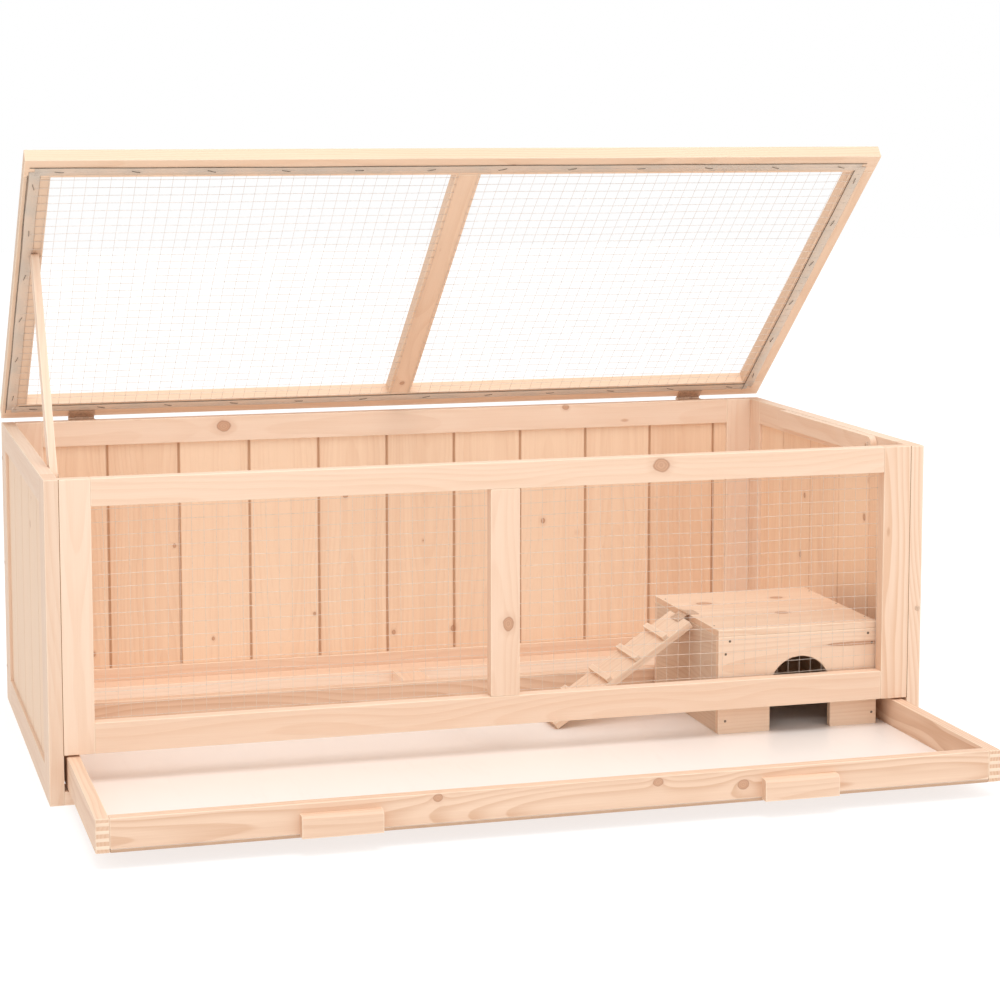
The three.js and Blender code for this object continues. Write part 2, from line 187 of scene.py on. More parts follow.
def pine_group():
    """Bare planed pine in a board's own frame: X along the grain, Y across it, Z through the face."""
    group = bpy.data.node_groups.new("pine", "ShaderNodeTree")
    wanted = [
        ("Local", "Vector"), ("Half", "Vector"), ("Grain", "Vector"), ("Light", "Color"), ("Dark", "Color"),
        ("Seed", "Float"), ("Knot", "Float"), ("Cover", "Float"), ("First", "Float"), ("Figure", "Float"),
        ("Groove", "Float"),
    ]
    for name, kind in wanted:
        group.interface.new_socket(name, in_out="INPUT", socket_type=f"NodeSocket{kind}")
    for name, kind in (("Color", "Color"), ("Roughness", "Float"), ("Height", "Float")):
        group.interface.new_socket(name, in_out="OUTPUT", socket_type=f"NodeSocket{kind}")
    t = Tree(group)
    given = t.add("NodeGroupInput", {}).outputs
    local = given["Local"]
    x, y, z = t.split(local)

    # Boards edge to edge each get their own number, and their own place across.
    across = t.math("SUBTRACT", y, given["First"])
    board = t.math("FLOOR", t.math("DIVIDE", across, given["Cover"]))
    middle = t.math("MULTIPLY", t.math("ADD", board, 0.5), given["Cover"])
    y = t.math("SUBTRACT", across, middle)
    seed = t.math("ADD", given["Seed"], t.math("MULTIPLY", board, 3.173))
    chance = t.add("ShaderNodeTexWhiteNoise", {"W": seed}, noise_dimensions="1D").outputs
    tone = chance["Value"]
    shift_y, shift_z, _ = t.split(chance["Color"])
    place = t.vector("ADD", t.join(x, y, z), t.join(seed, shift_y, shift_z))

    # Growth rings about a pith that lies behind the face, bent by slow noise and by knots.
    wander = t.noise(place, (1.5, 5.0, 5.0), 2.0)
    ripple = t.noise(place, (9.0, 60.0, 60.0), 2.0)
    pith_y = t.math("SUBTRACT", y, t.math("MULTIPLY", t.math("SUBTRACT", shift_y, 0.5), 0.05))
    pith_z = t.math("ADD", z, t.math("ADD", 0.022, t.math("MULTIPLY", shift_z, 0.03)))
    radius = t.vector("LENGTH", t.join(0.0, pith_y, pith_z))
    radius = t.math("ADD", radius, t.math("MULTIPLY", wander, 0.07))
    radius = t.math("ADD", radius, t.math("MULTIPLY", ripple, 0.0012))
    bend = t.math("DIVIDE", 0.008, t.math("ADD", 1.0, t.math("POWER", given["Knot"], 2.0)))
    radius = t.math("SUBTRACT", radius, bend)
    ring = t.math("FRACT", t.math("DIVIDE", radius, 0.0043))
    late = t.math("MULTIPLY", t.step(ring, 0.25, 0.92), t.step(ring, 1.0, 0.92))

    fibre = t.noise(place, (16.0, 750.0, 750.0), 3.0, 0.6)
    streak = t.noise(place, (1.3, 55.0, 55.0), 3.0, 0.55)
    patch = t.noise(place, (3.0, 16.0, 16.0), 2.0)
    dark = t.math("MULTIPLY", late, t.math("MULTIPLY", t.math("ADD", patch, 0.1), 0.62))
    dark = t.math("MULTIPLY", dark, given["Figure"])
    dark = t.math("ADD", dark, t.math("MULTIPLY", t.math("SUBTRACT", fibre, 0.5), 0.4))
    dark = t.math("ADD", dark, t.math("MULTIPLY", t.math("SUBTRACT", streak, 0.42), 0.9))
    dark = t.math("ADD", dark, t.math("MULTIPLY", t.math("SUBTRACT", tone, 0.45), 0.45), clamp=True)
    color = t.mix(dark, given["Light"], given["Dark"])

    # Small pin knots, in some cells only.
    cells = t.vector("MULTIPLY", place, (8.0, 21.0, 21.0))
    pins = t.add("ShaderNodeTexVoronoi", {"Vector": cells, "Scale": 1.0}).outputs
    rare = t.step(t.split(pins["Color"])[0], 0.86, 0.88)
    pin = t.math("MULTIPLY", t.step(pins["Distance"], 0.075, 0.03), rare)
    color = t.mix(t.math("MULTIPLY", pin, 0.75), color, KNOT_CORE)

    # Large knots: a dark rim, a ringed middle and a warm halo.
    knot = given["Knot"]
    halo = t.math("MULTIPLY", t.step(knot, 2.3, 0.9), 0.28)
    color = t.mix(halo, color, KNOT_CORE)
    inner = t.math("PINGPONG", t.math("MULTIPLY", knot, 5.0), 1.0)
    heart = t.mix(t.math("MULTIPLY", inner, 0.45), KNOT_CORE, KNOT_RIM)
    color = t.mix(t.math("MULTIPLY", t.step(knot, 1.0, 0.85), 0.82), color, heart)
    rim = t.math("MULTIPLY", t.step(knot, 0.72, 0.95), t.step(knot, 1.16, 0.95))
    color = t.mix(t.math("MULTIPLY", rim, 0.55), color, KNOT_RIM)

    # The grooves between boards are painted darker: painted shade in the V grooves.
    near = t.math("SUBTRACT", t.math("MULTIPLY", given["Cover"], 0.5), t.math("ABSOLUTE", y))
    ragged = t.math("ADD", near, t.math("MULTIPLY", t.math("SUBTRACT", ripple, 0.5), 0.0016))
    groove = t.math("MULTIPLY", t.step(ragged, 0.0032, 0.0008), given["Groove"])
    color = t.mix(groove, color, GROOVE_SHADE_BROWN)

    # End grain is darker. Edges are lighter: a painted highlight where the rounded edges catch the light, with
    # some wear.
    normal = t.add("ShaderNodeTexCoord", {}).outputs["Normal"]
    facing = t.math("ABSOLUTE", t.vector("DOT_PRODUCT", normal, given["Grain"]))
    end = t.math("MULTIPLY", t.step(facing, 0.75, 0.95), 0.4)
    color = t.mix(end, color, given["Dark"])
    inside = t.split(t.vector("SUBTRACT", given["Half"], t.vector("ABSOLUTE", local)))
    least = t.math("MINIMUM", t.math("MINIMUM", inside[0], inside[1]), inside[2])
    most = t.math("MAXIMUM", t.math("MAXIMUM", inside[0], inside[1]), inside[2])
    total = t.math("ADD", t.math("ADD", inside[0], inside[1]), inside[2])
    second = t.math("SUBTRACT", t.math("SUBTRACT", total, least), most)
    reach = t.math("ADD", 0.0006, t.math("MULTIPLY", patch, 0.0022))
    edge = t.math("MULTIPLY", t.step(t.math("DIVIDE", second, reach), 1.0, 0.2), 0.35)
    color = t.mix(edge, color, (1.0, 0.86, 0.68, 1))

    rough = t.math("ADD", 0.5, t.math("MULTIPLY", fibre, 0.22))
    rough = t.math("SUBTRACT", rough, t.math("MULTIPLY", late, 0.06))
    height = t.math("ADD", t.math("MULTIPLY", late, 0.5), t.math("MULTIPLY", fibre, 0.6))
    height = t.math("SUBTRACT", height, t.math("MULTIPLY", rim, 0.8))
    t.add("NodeGroupOutput", {"Color": color, "Roughness": rough, "Height": height})
    return group


PINE = pine_group()


def new_material(name):
    material = bpy.data.materials.new(name)
    material.use_nodes = True
    material.node_tree.nodes.clear()
    return material, Tree(material.node_tree)


def surface(t, bump, bump_depth, **inputs):
    """The shader, with a bump from a height, and the material's output."""
    height = t.add("ShaderNodeBump", {"Height": bump, "Strength": 1.0, "Distance": bump_depth})
    shader_inputs = {"Normal": height.outputs[0], **{k.replace("_", " "): v for k, v in inputs.items()}}
    shader = t.add("ShaderNodeBsdfPrincipled", shader_inputs)
    t.add("ShaderNodeOutputMaterial", {"Surface": shader.outputs[0]})


def sharp_edges(mesh):
    """Unit normal with area, and vector, of a mesh's flat faces and of its sharp edges."""
    bm = bmesh.new()
    bm.from_mesh(mesh)
    bmesh.ops.remove_doubles(bm, verts=bm.verts, dist=1e-6)
    faces = [(f.normal.copy(), f.calc_area()) for f in bm.faces]
    edges = [
        e.verts[1].co - e.verts[0].co
        for e in bm.edges
        if len(e.link_faces) == 2 and e.calc_face_angle(0) > math.radians(20)
    ]
    bm.free()
    return faces, edges


def board_frame(node, grain=None):
    """A board's own frame: rotation whose rows are grain, across and face, with centre and half size."""
    faces, edges = sharp_edges(NODES[node].data)
    areas = {}
    for normal, area in faces:
        key = tuple(round(abs(c), 2) for c in normal)
        side = areas.get(key, (0.0, normal))[1]
        areas[key] = (areas.get(key, (0.0, normal))[0] + area, side)
    face = max(areas.values(), key=lambda pair: pair[0])[1].normalized()
    along = Vector(grain) if grain else max(edges, key=lambda e: e.length).normalized()
    along = (along - face * along.dot(face)).normalized()
    rows = Matrix((along, face.cross(along), face))
    points = [rows @ v.co for v in NODES[node].data.vertices]
    low = Vector([min(p[i] for p in points) for i in range(3)])
    high = Vector([max(p[i] for p in points) for i in range(3)])
    return rows, (low + high) / 2, (high - low) / 2


# ---------- Wood ----------
WOODS = {
    "frame_wood": (FRAME_LIGHT, FRAME_DARK),
    "board_wood": (BOARD_LIGHT, BOARD_DARK),
    "lid_wood": (LID_SHADED_LIGHT, LID_SHADED_DARK),
    "tray_wood": (TRAY_LIGHT, TRAY_DARK),
    "house_wood": (HOUSE_LIGHT, HOUSE_DARK),
}
FIGURES = {
    "board_wood": 0.35, "tray_wood": 0.9, "house_wood": 0.8, "frame_wood": 0.55,
    "front_right_stile": 1.9, "right_front_stile": 1.4, "tray_right_board": 1.6, "tray_front_board": 1.3,
}
# How much darker or paler than its wood a board is, by how its name starts. The left-side parts are darker as
# painted shade on the cage's shaded left; right_boards is paler.
TONES_AND_SIDE_SHADE = {"left_": 0.94, "right_boards": 1.05, "house_left_wall": 0.82, "lid_left_stile": 0.88}
# The grooves' darkness set here is painted shade.
GROOVES = {"back_boards": 0.75, "left_boards": 0.4, "right_boards": 0.22}  # how dark the grooves are
GRAIN_OVERRIDES = {"house_roof": (1, 0, 0), "ramp_cleat": (0, 1, 0)}
# Which way a board's knotted face looks, where that isn't to the front and up.
OUTWARD = {"back_top_rail": Vector((0, -1, 0)), "lid_center_bar": Vector((0, -1, -1))}


def knot_distance(t, local, knots):
    """How far a point is from the nearest knot, in knot sizes."""
    nearest = 60.0
    waver = t.math("MULTIPLY", t.noise(local, (90.0, 90.0, 90.0), 2.0), 0.5)
    for place, size, stretch in knots:
        apart = t.vector("SUBTRACT", local, place)
        apart = t.vector("MULTIPLY", apart, (0.8 / size / stretch, 1.0 / size, 0.5 / size))
        reach = t.math("ADD", t.vector("LENGTH", apart), t.math("SUBTRACT", waver, 0.25))
        nearest = t.math("MINIMUM", nearest, reach)
    return nearest


def scattered_knots(count, seed):
    """One knot in each equal stretch of a panel: (place along it, place up it, radius in mm)."""
    chance = random.Random(seed)
    knots = []
    for stretch in range(count):
        along = (stretch + chance.random()) / count
        up = chance.random()
        knots.append((along, up, chance.uniform(SMALLEST_KNOT, LARGEST_KNOT)))
    return knots


def wood_material(node, slot, seed):
    tone = next((tone for start, tone in TONES_AND_SIDE_SHADE.items() if node.startswith(start)), 1.0)
    light, dark = ([min(0.97, part * tone) for part in color] for color in WOODS[slot])
    grain = next((g for start, g in GRAIN_OVERRIDES.items() if node.startswith(start)), None)
    rows, centre, half = board_frame(node, grain)
    material, t = new_material(f"{node}_{slot}")
    place = t.add("ShaderNodeTexCoord", {}).outputs["Object"]
    turn = {"Vector": place, "Location": -centre, "Rotation": rows.to_euler("XYZ")}
    local = t.add("ShaderNodeMapping", turn, vector_type="POINT").outputs[0]
    marks = []
    for along, across, size, *stretch in KNOTS.get(node, []):
        spot = Vector(((2 * along - 1) * half.x, (2 * across - 1) * half.y, half.z))
        if rows[0].dot(Vector((1, 1, 1))) < 0:
            spot.x = -spot.x
        if rows[1].dot(Vector((1, 1, 1))) < 0:
            spot.y = -spot.y
        outside = -1 if rows[2].dot(OUTWARD.get(node, Vector((0, -1, 0.4)))) < 0 else 1
        spot.z *= outside
        marks.append((spot, size * MM, stretch[0] if stretch else 1.0))
    for along, up, size in scattered_knots(*SCATTERED_KNOTS.get(node, (0, 0))):
        low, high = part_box(node)
        spot = Vector([a + (b - a) * f for a, b, f in zip(low, high, (along, along, up))])
        marks.append((rows @ spot - centre, size * MM, 1.0))
    inputs = {
        "Local": local, "Half": half, "Grain": rows[0], "Seed": seed,
        "Light": (*light, 1), "Dark": (*dark, 1),
        "Knot": knot_distance(t, local, marks), "Cover": ONE_BOARD, "First": -ONE_BOARD / 2,
        "Figure": FIGURES.get(node, FIGURES.get(slot, 0.7)), "Groove": GROOVES.get(node, 0.0),
    }
    if node.endswith("_boards"):
        inputs["Cover"] = BOARD_COVER
        inputs["First"] = first_board_edge(node, rows, centre)
    pine = t.add("ShaderNodeGroup", {}, node_tree=PINE)
    for name, value in inputs.items():
        t.feed(pine.inputs[name], value)
    out = pine.outputs
    surface(t, out["Height"], 0.00022, Base_Color=out["Color"], Roughness=out["Roughness"])
    return material


def first_board_edge(node, rows, centre):
    """Where one V groove of a board panel lies across the panel: its vertices that are in from the faces."""
    points = [rows @ v.co - centre for v in NODES[node].data.vertices]
    deepest = max(abs(p.z) for p in points)
    grooves = sorted(p.y for p in points if abs(p.z) < deepest - 0.001)
    return grooves[0]


def finish_edges(obj, width):
    """Rounds a node's sharp edges without touching its mesh."""
    for polygon in obj.data.polygons:
        polygon.use_smooth = True
    weld = obj.modifiers.new("weld", "WELD")
    weld.merge_threshold = 1e-5
    bevel = obj.modifiers.new("round_edges", "BEVEL")
    bevel.width = width
    bevel.segments = 3
    bevel.limit_method = "ANGLE"
    bevel.angle_limit = math.radians(35)
    bevel.use_clamp_overlap = True
    shade = obj.modifiers.new("shade_faces", "WEIGHTED_NORMAL")
    shade.weight = 100


# ---------- Metal and panel ----------
def metal_material(name, color, roughness, grime, metallic=0.85):
    material, t = new_material(name)
    place = t.add("ShaderNodeTexCoord", {}).outputs["Object"]
    spangle = t.noise(place, (260.0, 260.0, 260.0), 3.0)
    scratch = t.noise(place, (900.0, 140.0, 900.0), 2.0)
    dull = t.math("MULTIPLY", t.step(spangle, 0.42, 0.7), grime)
    tint = t.mix(dull, (*color, 1), (color[0] * 0.55, color[1] * 0.5, color[2] * 0.44, 1))
    rough = t.math("ADD", roughness, t.math("MULTIPLY", scratch, 0.2))
    surface(t, scratch, 0.00003, Base_Color=tint, Roughness=rough, Metallic=metallic)
    return material


def panel_material():
    """Panel with a white film on top, scuffed and slightly wavy, and bare pressed fibre elsewhere."""
    material, t = new_material("white_panel_film")
    place = t.add("ShaderNodeTexCoord", {}).outputs["Object"]
    wave = t.noise(place, (6.0, 6.0, 6.0), 2.0)
    scuff = t.noise(place, (60.0, 9.0, 60.0), 4.0, 0.65)
    peel = t.noise(place, (500.0, 500.0, 500.0), 2.0)
    worn = t.math("MULTIPLY", t.step(scuff, 0.55, 0.8), 0.25)
    color = t.mix(worn, (*PANEL_WHITE, 1), (0.80, 0.72, 0.66, 1))
    rough = t.math("ADD", 0.26, t.math("MULTIPLY", wave, 0.16))
    bump = t.math("ADD", t.math("MULTIPLY", wave, 3.0), t.math("MULTIPLY", peel, 0.25))
    upward = t.split(t.add("ShaderNodeTexCoord", {}).outputs["Normal"])[2]
    fibre = t.mix(t.noise(place, (90.0, 90.0, 900.0), 3.0), (0.62, 0.40, 0.26, 1), (0.44, 0.26, 0.16, 1))
    color = t.mix(t.step(upward, 0.5, 0.8), fibre, color)
    surface(t, bump, 0.0002, Base_Color=color, Roughness=rough)
    return material


def hem_material():
    """The mesh's folded edge, packed so closely that it reads as a dull band with fine ridges."""
    material, t = new_material("zinc_hem")
    place = t.add("ShaderNodeTexCoord", {}).outputs["Object"]
    cloud = t.noise(place, (22.0, 22.0, 22.0), 3.0)
    grit = t.noise(place, (420.0, 420.0, 420.0), 2.0)
    color = t.mix(t.step(cloud, 0.35, 0.7), (0.72, 0.575, 0.455, 1), (0.62, 0.53, 0.44, 1))
    color = t.mix(t.math("MULTIPLY", t.step(grit, 0.6, 0.75), 0.25), color, (0.42, 0.32, 0.24, 1))
    rough = t.math("ADD", 0.45, t.math("MULTIPLY", grit, 0.2))
    surface(t, grit, 0.00004, Base_Color=color, Roughness=rough, Metallic=0.25)
    return material


WIRE = metal_material("zinc_wire", (0.78, 0.68, 0.60), 0.34, 0.4, 0.45)
HEM = hem_material()
STEEL = metal_material("plated_steel", (0.74, 0.54, 0.40), 0.42, 0.5, 0.6)
DARK_NAIL_AND_SHADOW = metal_material("dark_nail_and_shadow_line", (0.24, 0.19, 0.15), 0.45, 0.8)
PANEL = panel_material()


def dress_nodes():
    """Gives every CAD node but the wire mesh its material and rounded edges."""
    slots = {row["node"]: row["material_slot"] for row in frame["record"]["subparts"]}
    for seed, (node, slot) in enumerate(sorted(slots.items()), start=1):
        obj = NODES[node]
        if slot == "wire_mesh":
            continue
        if slot == "white_panel":
            material = PANEL
        elif slot == "hinge_steel":
            material = STEEL
        else:
            material = wood_material(node, slot, seed * 1.37)
        obj.data.materials.clear()
        obj.data.materials.append(material)
        if slot == "hinge_steel":
            finish_edges(obj, STEEL_BEVEL)
        elif "cleat" in node or node.endswith("_boards"):
            finish_edges(obj, SMALL_BEVEL)
        else:
            finish_edges(obj, PLANK_BEVEL)


# ---------- Mesh building ----------
class Builder:
    """Collects closed shapes in a plane's own frame and makes one piece of them.
    The plane's rows are u, v and n, and n points away from the wood."""

    def __init__(self, origin, rows):
        self.origin = Vector(origin)
        self.axes = [Vector(r) for r in rows]
        self.points = []
        self.faces = []

    def place(self, u, v, n):
        return self.origin + self.axes[0] * u + self.axes[1] * v + self.axes[2] * n

    def tube(self, path, radius, sides=WIRE_SIDES):
        """A round bar along points in (u, v, n), closed at both ends."""
        points = [Vector(p) for p in path]
        first = len(self.points)
        for i, point in enumerate(points):
            ahead = points[min(i + 1, len(points) - 1)] - points[max(i - 1, 0)]
            side = ahead.cross(Vector((0.1, 0.2, 1))).normalized()
            lift = side.cross(ahead).normalized()
            for k in range(sides):
                angle = 2 * math.pi * k / sides
                around = side * math.cos(angle) * radius + lift * math.sin(angle) * radius
                self.points.append(self.place(*(point + around)))
        for i in range(len(points) - 1):
            for k in range(sides):
                a = first + i * sides + k
                b = first + i * sides + (k + 1) % sides
                self.faces.append((a, b, b + sides, a + sides))
        last = first + (len(points) - 1) * sides
        self.faces.append(tuple(range(first + sides - 1, first - 1, -1)))
        self.faces.append(tuple(range(last, last + sides)))

    def lathe(self, u, v, profile, sides=16):
        """A turned shape about n at (u, v). The profile is (radius, n) pairs from the foot to the tip."""
        first = len(self.points)
        for radius, n in profile:
            for k in range(sides):
                angle = 2 * math.pi * k / sides
                self.points.append(self.place(u + radius * math.cos(angle), v + radius * math.sin(angle), n))
        for i in range(len(profile) - 1):
            for k in range(sides):
                a = first + i * sides + k
                b = first + i * sides + (k + 1) % sides
                self.faces.append((a, b, b + sides, a + sides))
        last = first + (len(profile) - 1) * sides
        self.faces.append(tuple(range(first + sides - 1, first - 1, -1)))
        self.faces.append(tuple(range(last, last + sides)))

    def make(self, name, body, material, replaces=()):
        mesh = bpy.data.meshes.new(name)
        mesh.from_pydata([tuple(p) for p in self.points], [], self.faces)
        bm = bmesh.new()
        bm.from_mesh(mesh)
        bmesh.ops.recalc_face_normals(bm, faces=bm.faces)
        bm.to_mesh(mesh)
        bm.free()
        for polygon in mesh.polygons:
            polygon.use_smooth = len(polygon.vertices) == 4
        mesh.materials.append(material)
        piece = bpy.data.objects.new(name, mesh)
        bpy.context.scene.collection.objects.link(piece)
        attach(piece, body)
        if replaces:
            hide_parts(*replaces)
        return piece


def span(low, high, pitch):
    """Places from low to high, evenly spaced at about the pitch."""
    count = max(1, round((high - low) / pitch))
    return [low + (high - low) * i / count for i in range(count + 1)]


def wave(a, b):
    """A slow wobble of about one unit, different at each place."""
    return 0.6 * math.sin(9.0 * a + 23.0 * b) + 0.4 * math.sin(31.0 * a - 14.0 * b + 1.0)


def wire_net(builder, u_spans, v_span):
    """Welded wire: upright wires next to the wood, and cross wires on top of them."""
    v_low, v_high = v_span
    for u_low, u_high in u_spans:
        for u in span(u_low, u_high, WIRE_PITCH_ACROSS):
            path = []
            for v in span(v_low, v_high, 0.026):
                path.append((u + 0.9 * MM * wave(u, v), v, WIRE_RADIUS * 1.1))
            builder.tube(path, WIRE_RADIUS * 0.75)
        for v in span(v_low, v_high, WIRE_PITCH_ALONG):
            path = []
            for u in span(u_low, u_high, 0.03):
                path.append((u, v + 0.9 * MM * wave(v + 3.0, u), WIRE_RADIUS * 2.9))
            builder.tube(path, WIRE_RADIUS)


def strip(builder, start, end, width, thick, base):
    """A flat folded band from start to end in the plane, with a soft wavy edge."""
    start, end = Vector((*start, 0)), Vector((*end, 0))
    along = (end - start).normalized()
    side = Vector((-along.y, along.x, 0))
    count = max(2, round((end - start).length / 0.02))
    section = [(-0.5, 0.25), (-0.42, 1.0), (0.0, 0.8), (0.42, 1.0), (0.5, 0.25), (0.0, 0.0)]
    first = len(builder.points)
    for i in range(count + 1):
        centre = start.lerp(end, i / count)
        wobble = wave(centre.x * 1.7, centre.y * 2.1)
        for share, height in section:
            point = centre + side * (share * width + wobble * 0.5 * MM)
            lift = base + height * thick * (0.85 + 0.15 * wobble)
            builder.points.append(builder.place(point.x, point.y, lift))
    sides = len(section)
    for i in range(count):
        for k in range(sides):
            a = first + i * sides + k
            b = first + i * sides + (k + 1) % sides
            builder.faces.append((a, b, b + sides, a + sides))
    last = first + count * sides
    builder.faces.append(tuple(range(first + sides - 1, first - 1, -1)))
    builder.faces.append(tuple(range(last, last + sides)))


def staple(builder, u, v, along, rise):
    """A wire staple driven in over the hem. along is its crown's direction in the plane."""
    du, dv = along[0] * 5.5 * MM, along[1] * 5.5 * MM
    path = [
        (u - du, v - dv, -1.5 * MM), (u - du, v - dv, rise * 0.7), (u - du * 0.8, v - dv * 0.8, rise),
        (u + du * 0.8, v + dv * 0.8, rise), (u + du, v + dv, rise * 0.7), (u + du, v + dv, -1.5 * MM),
    ]
    builder.tube(path, 0.38 * MM, 8)


def hems_and_staples(name, body, origin, rows, bands):
    """A folded wire hem along each band, ((u, v), (u, v)), with staples across it."""
    hem = Builder(origin, rows)
    fixings = Builder(origin, rows)
    for start, end in bands:
        strip(hem, start, end, HEM_WIDTH, HEM_THICK, 0.05 * MM)
        a, b = Vector(start), Vector(end)
        along = (b - a).normalized()
        for i, reach in enumerate(span(0.03, (b - a).length - 0.03, STAPLE_GAP)):
            spot = a + along * reach
            slant = 0.35 * math.sin(7.0 * i + 5.0 * a.x)
            tilt = Vector((along.x - along.y * slant, along.y + along.x * slant)).normalized()
            staple(fixings, spot.x, spot.y, tilt, HEM_THICK + 0.55 * MM)
    hem.make(f"{name}_hem", body, HEM)
    fixings.make(f"{name}_staples", body, DARK_NAIL_AND_SHADOW)


def front_net():
    low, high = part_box("front_mesh")
    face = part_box("front_top_rail")[1].y
    origin, rows = (0, face, 0), ((1, 0, 0), (0, 0, 1), (0, 1, 0))
    net = Builder(origin, rows)
    wire_net(net, [(low.x, high.x)], (low.z, high.z))
    net.make("front_wires", "cage", WIRE, ["front_mesh"])
    inset = HEM_WIDTH / 2
    x0, x1, z0, z1 = low.x + inset, high.x - inset, low.z + inset, high.z - inset
    bands = [((x0, z0), (x0, z1)), ((x1, z0), (x1, z1)), ((x0, z0), (x1, z0)), ((x0, z1), (x1, z1))]
    hems_and_staples("front", "cage", (0, face + 2.4 * WIRE_RADIUS, 0), rows, bands)


def lid_plane():
    """The lid's underside: origin on the hinge axis, rows x, towards the free edge, and downwards."""
    joint = next(j for j in frame["joints"] if j["name"] == "lid_hinge")
    rows, _, _ = board_frame("lid_left_stile")
    axis_place = Vector(joint["pos_m"])
    outward = rows[0] if rows[0].z > 0 else -rows[0]
    down = rows[2] if rows[2].z < 0 else -rows[2]
    reach = [(v.co - axis_place).dot(down) for v in NODES["lid_left_stile"].data.vertices]
    return axis_place + down * max(reach), (Vector((1, 0, 0)), outward, down)


def shadow_line_wire(builder, start, end):
    """A painted shadow line along an edge of the hem, as one slightly wavy dark wire from start to end."""
    a, b = Vector(start), Vector(end)
    count = round((b - a).length / 0.03)
    path = []
    for i in range(count + 1):
        p = a.lerp(b, i / count)
        path.append((p.x + 0.7 * MM * wave(p.y, p.x), p.y + 0.7 * MM * wave(p.x, p.y), 0.9 * MM))
    builder.tube(path, SHADOW_LINE_RADIUS, 8)


def lid_net():
    origin, rows = lid_plane()
    place = [v.co - origin for v in NODES["lid_mesh"].data.vertices]
    u_low, u_high = min(p.x for p in place), max(p.x for p in place)
    v_low, v_high = min(p.dot(rows[1]) for p in place), max(p.dot(rows[1]) for p in place)
    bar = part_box("lid_center_bar")
    net = Builder(origin, rows)
    spans = [(u_low + LID_LAP, bar[0].x + LID_LAP), (bar[1].x - LID_LAP, u_high - LID_LAP)]
    wire_net(net, spans, (v_low + LID_LAP, v_high - LID_LAP))
    net.make("lid_wires", "lid", WIRE, ["lid_mesh"])

    v0, v1 = v_low + 7 * MM, v_high - 4 * MM
    near, far = v0 - HEM_WIDTH / 2, v1 - HEM_WIDTH / 2
    # Dark wires along the hem's edges: painted shadow lines where the hem's edges throw shade.
    edges = Builder(origin, rows)
    shadow_line_wire(edges, (SHADOW_LINE_FREE_END[0], far + HEM_WIDTH), (SHADOW_LINE_FREE_END[1], far + HEM_WIDTH))
    shadow_line_wire(edges, (SHADOW_LINE_HINGE_END[0], near + HEM_WIDTH), (SHADOW_LINE_HINGE_END[1], near + HEM_WIDTH))
    shadow_line_wire(edges, (SHADOW_LINE_RIGHT, near), (SHADOW_LINE_RIGHT, far))
    shadow_line_wire(edges, (SHADOW_LINE_LEFT, near), (SHADOW_LINE_LEFT, far))
    edges.make("lid_hem_shadow_line", "lid", DARK_NAIL_AND_SHADOW)

    u0, u1 = LID_HEM_LEFT, LID_HEM_RIGHT
    bands = [((u0, v0), (u0, v1)), ((u1, v0), (u1, v1)), ((u0, v0), (u1, v0)), ((u0, v1), (u1, v1))]
    hems_and_staples("lid", "lid", origin, rows, bands)


# ---------- Nails and screws ----------
NAIL_HEAD = [(0.5, -2.0), (1.5, -0.2), (1.7, 0.1), (1.3, 0.35), (0.5, 0.45)]
FLUSH_HEAD = [(0.8, -0.6), (1.9, -0.02), (2.0, 0.03), (1.8, 0.08), (0.8, 0.08), (0.6, 0.01)]
SCREW_HEAD = [(0.8, -2.0), (3.4, -0.1), (3.6, 0.25), (3.0, 0.7), (1.3, 1.0), (1.1, 0.5), (0.4, 0.5)]


def heads(name, body, material, profile, spots, origin, rows, size=1.0):
    """Nail or screw heads standing on a plane at the given (u, v) places."""
    builder = Builder(origin, rows)
    shape = [(radius * size * MM, n * size * MM) for radius, n in profile]
    for u, v in spots:
        builder.lathe(u, v, shape)
    builder.make(name, body, material)


def house_nails():
    low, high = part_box("house_front_wall")
    width, tall = high.x - low.x, high.z - low.z
    shares = [(0.07, 0.95), (0.045, 0.82), (0.045, 0.13), (0.94, 0.95), (0.965, 0.85), (0.97, 0.12)]
    spots = [(low.x + a * width, low.z + b * tall) for a, b in shares]
    rows = ((1, 0, 0), (0, 0, 1), (0, -1, 0))
    heads("house_front_nails", "house", DARK_NAIL_AND_SHADOW, NAIL_HEAD, spots, (0, low.y, 0), rows)
    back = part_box("house_back_wall")[1].y
    rows = ((1, 0, 0), (0, 0, 1), (0, 1, 0))
    heads("house_back_nails", "house", DARK_NAIL_AND_SHADOW, NAIL_HEAD, spots, (0, back, 0), rows)
    low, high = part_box("house_roof")
    edge = 5 * MM
    spots = []
    for x in (low.x + edge, high.x - edge):
        spots += [(x, y) for y in span(low.y + 0.03, high.y - 0.03, 0.09)]
    rows = ((1, 0, 0), (0, 1, 0), (0, 0, 1))
    heads("house_roof_nails", "house", DARK_NAIL_AND_SHADOW, NAIL_HEAD, spots, (0, 0, high.z), rows, 0.8)


def frame_screws():
    """One screw in the right panel's front edge, and three through each side panel's back stile."""
    low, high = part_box("right_front_stile")
    spot = (low.x + 0.72 * (high.x - low.x), low.z + 0.455 * (high.z - low.z))
    rows = ((1, 0, 0), (0, 0, 1), (0, -1, 0))
    heads("front_edge_screw", "cage", STEEL, SCREW_HEAD, [spot], (0, low.y, 0), rows)
    for side, sign in (("left", -1), ("right", 1)):
        low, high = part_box(f"{side}_back_stile")
        outer = low.x if sign < 0 else high.x
        y = high.y - 9 * MM
        spots = [(y, z) for z in (0.05, 0.2, 0.35)]
        rows = ((0, 1, 0), (0, 0, 1), (sign, 0, 0))
        name = f"{side}_panel_screws"
        heads(name, "cage", STEEL, SCREW_HEAD, spots, (outer, 0, 0), rows, 0.8)


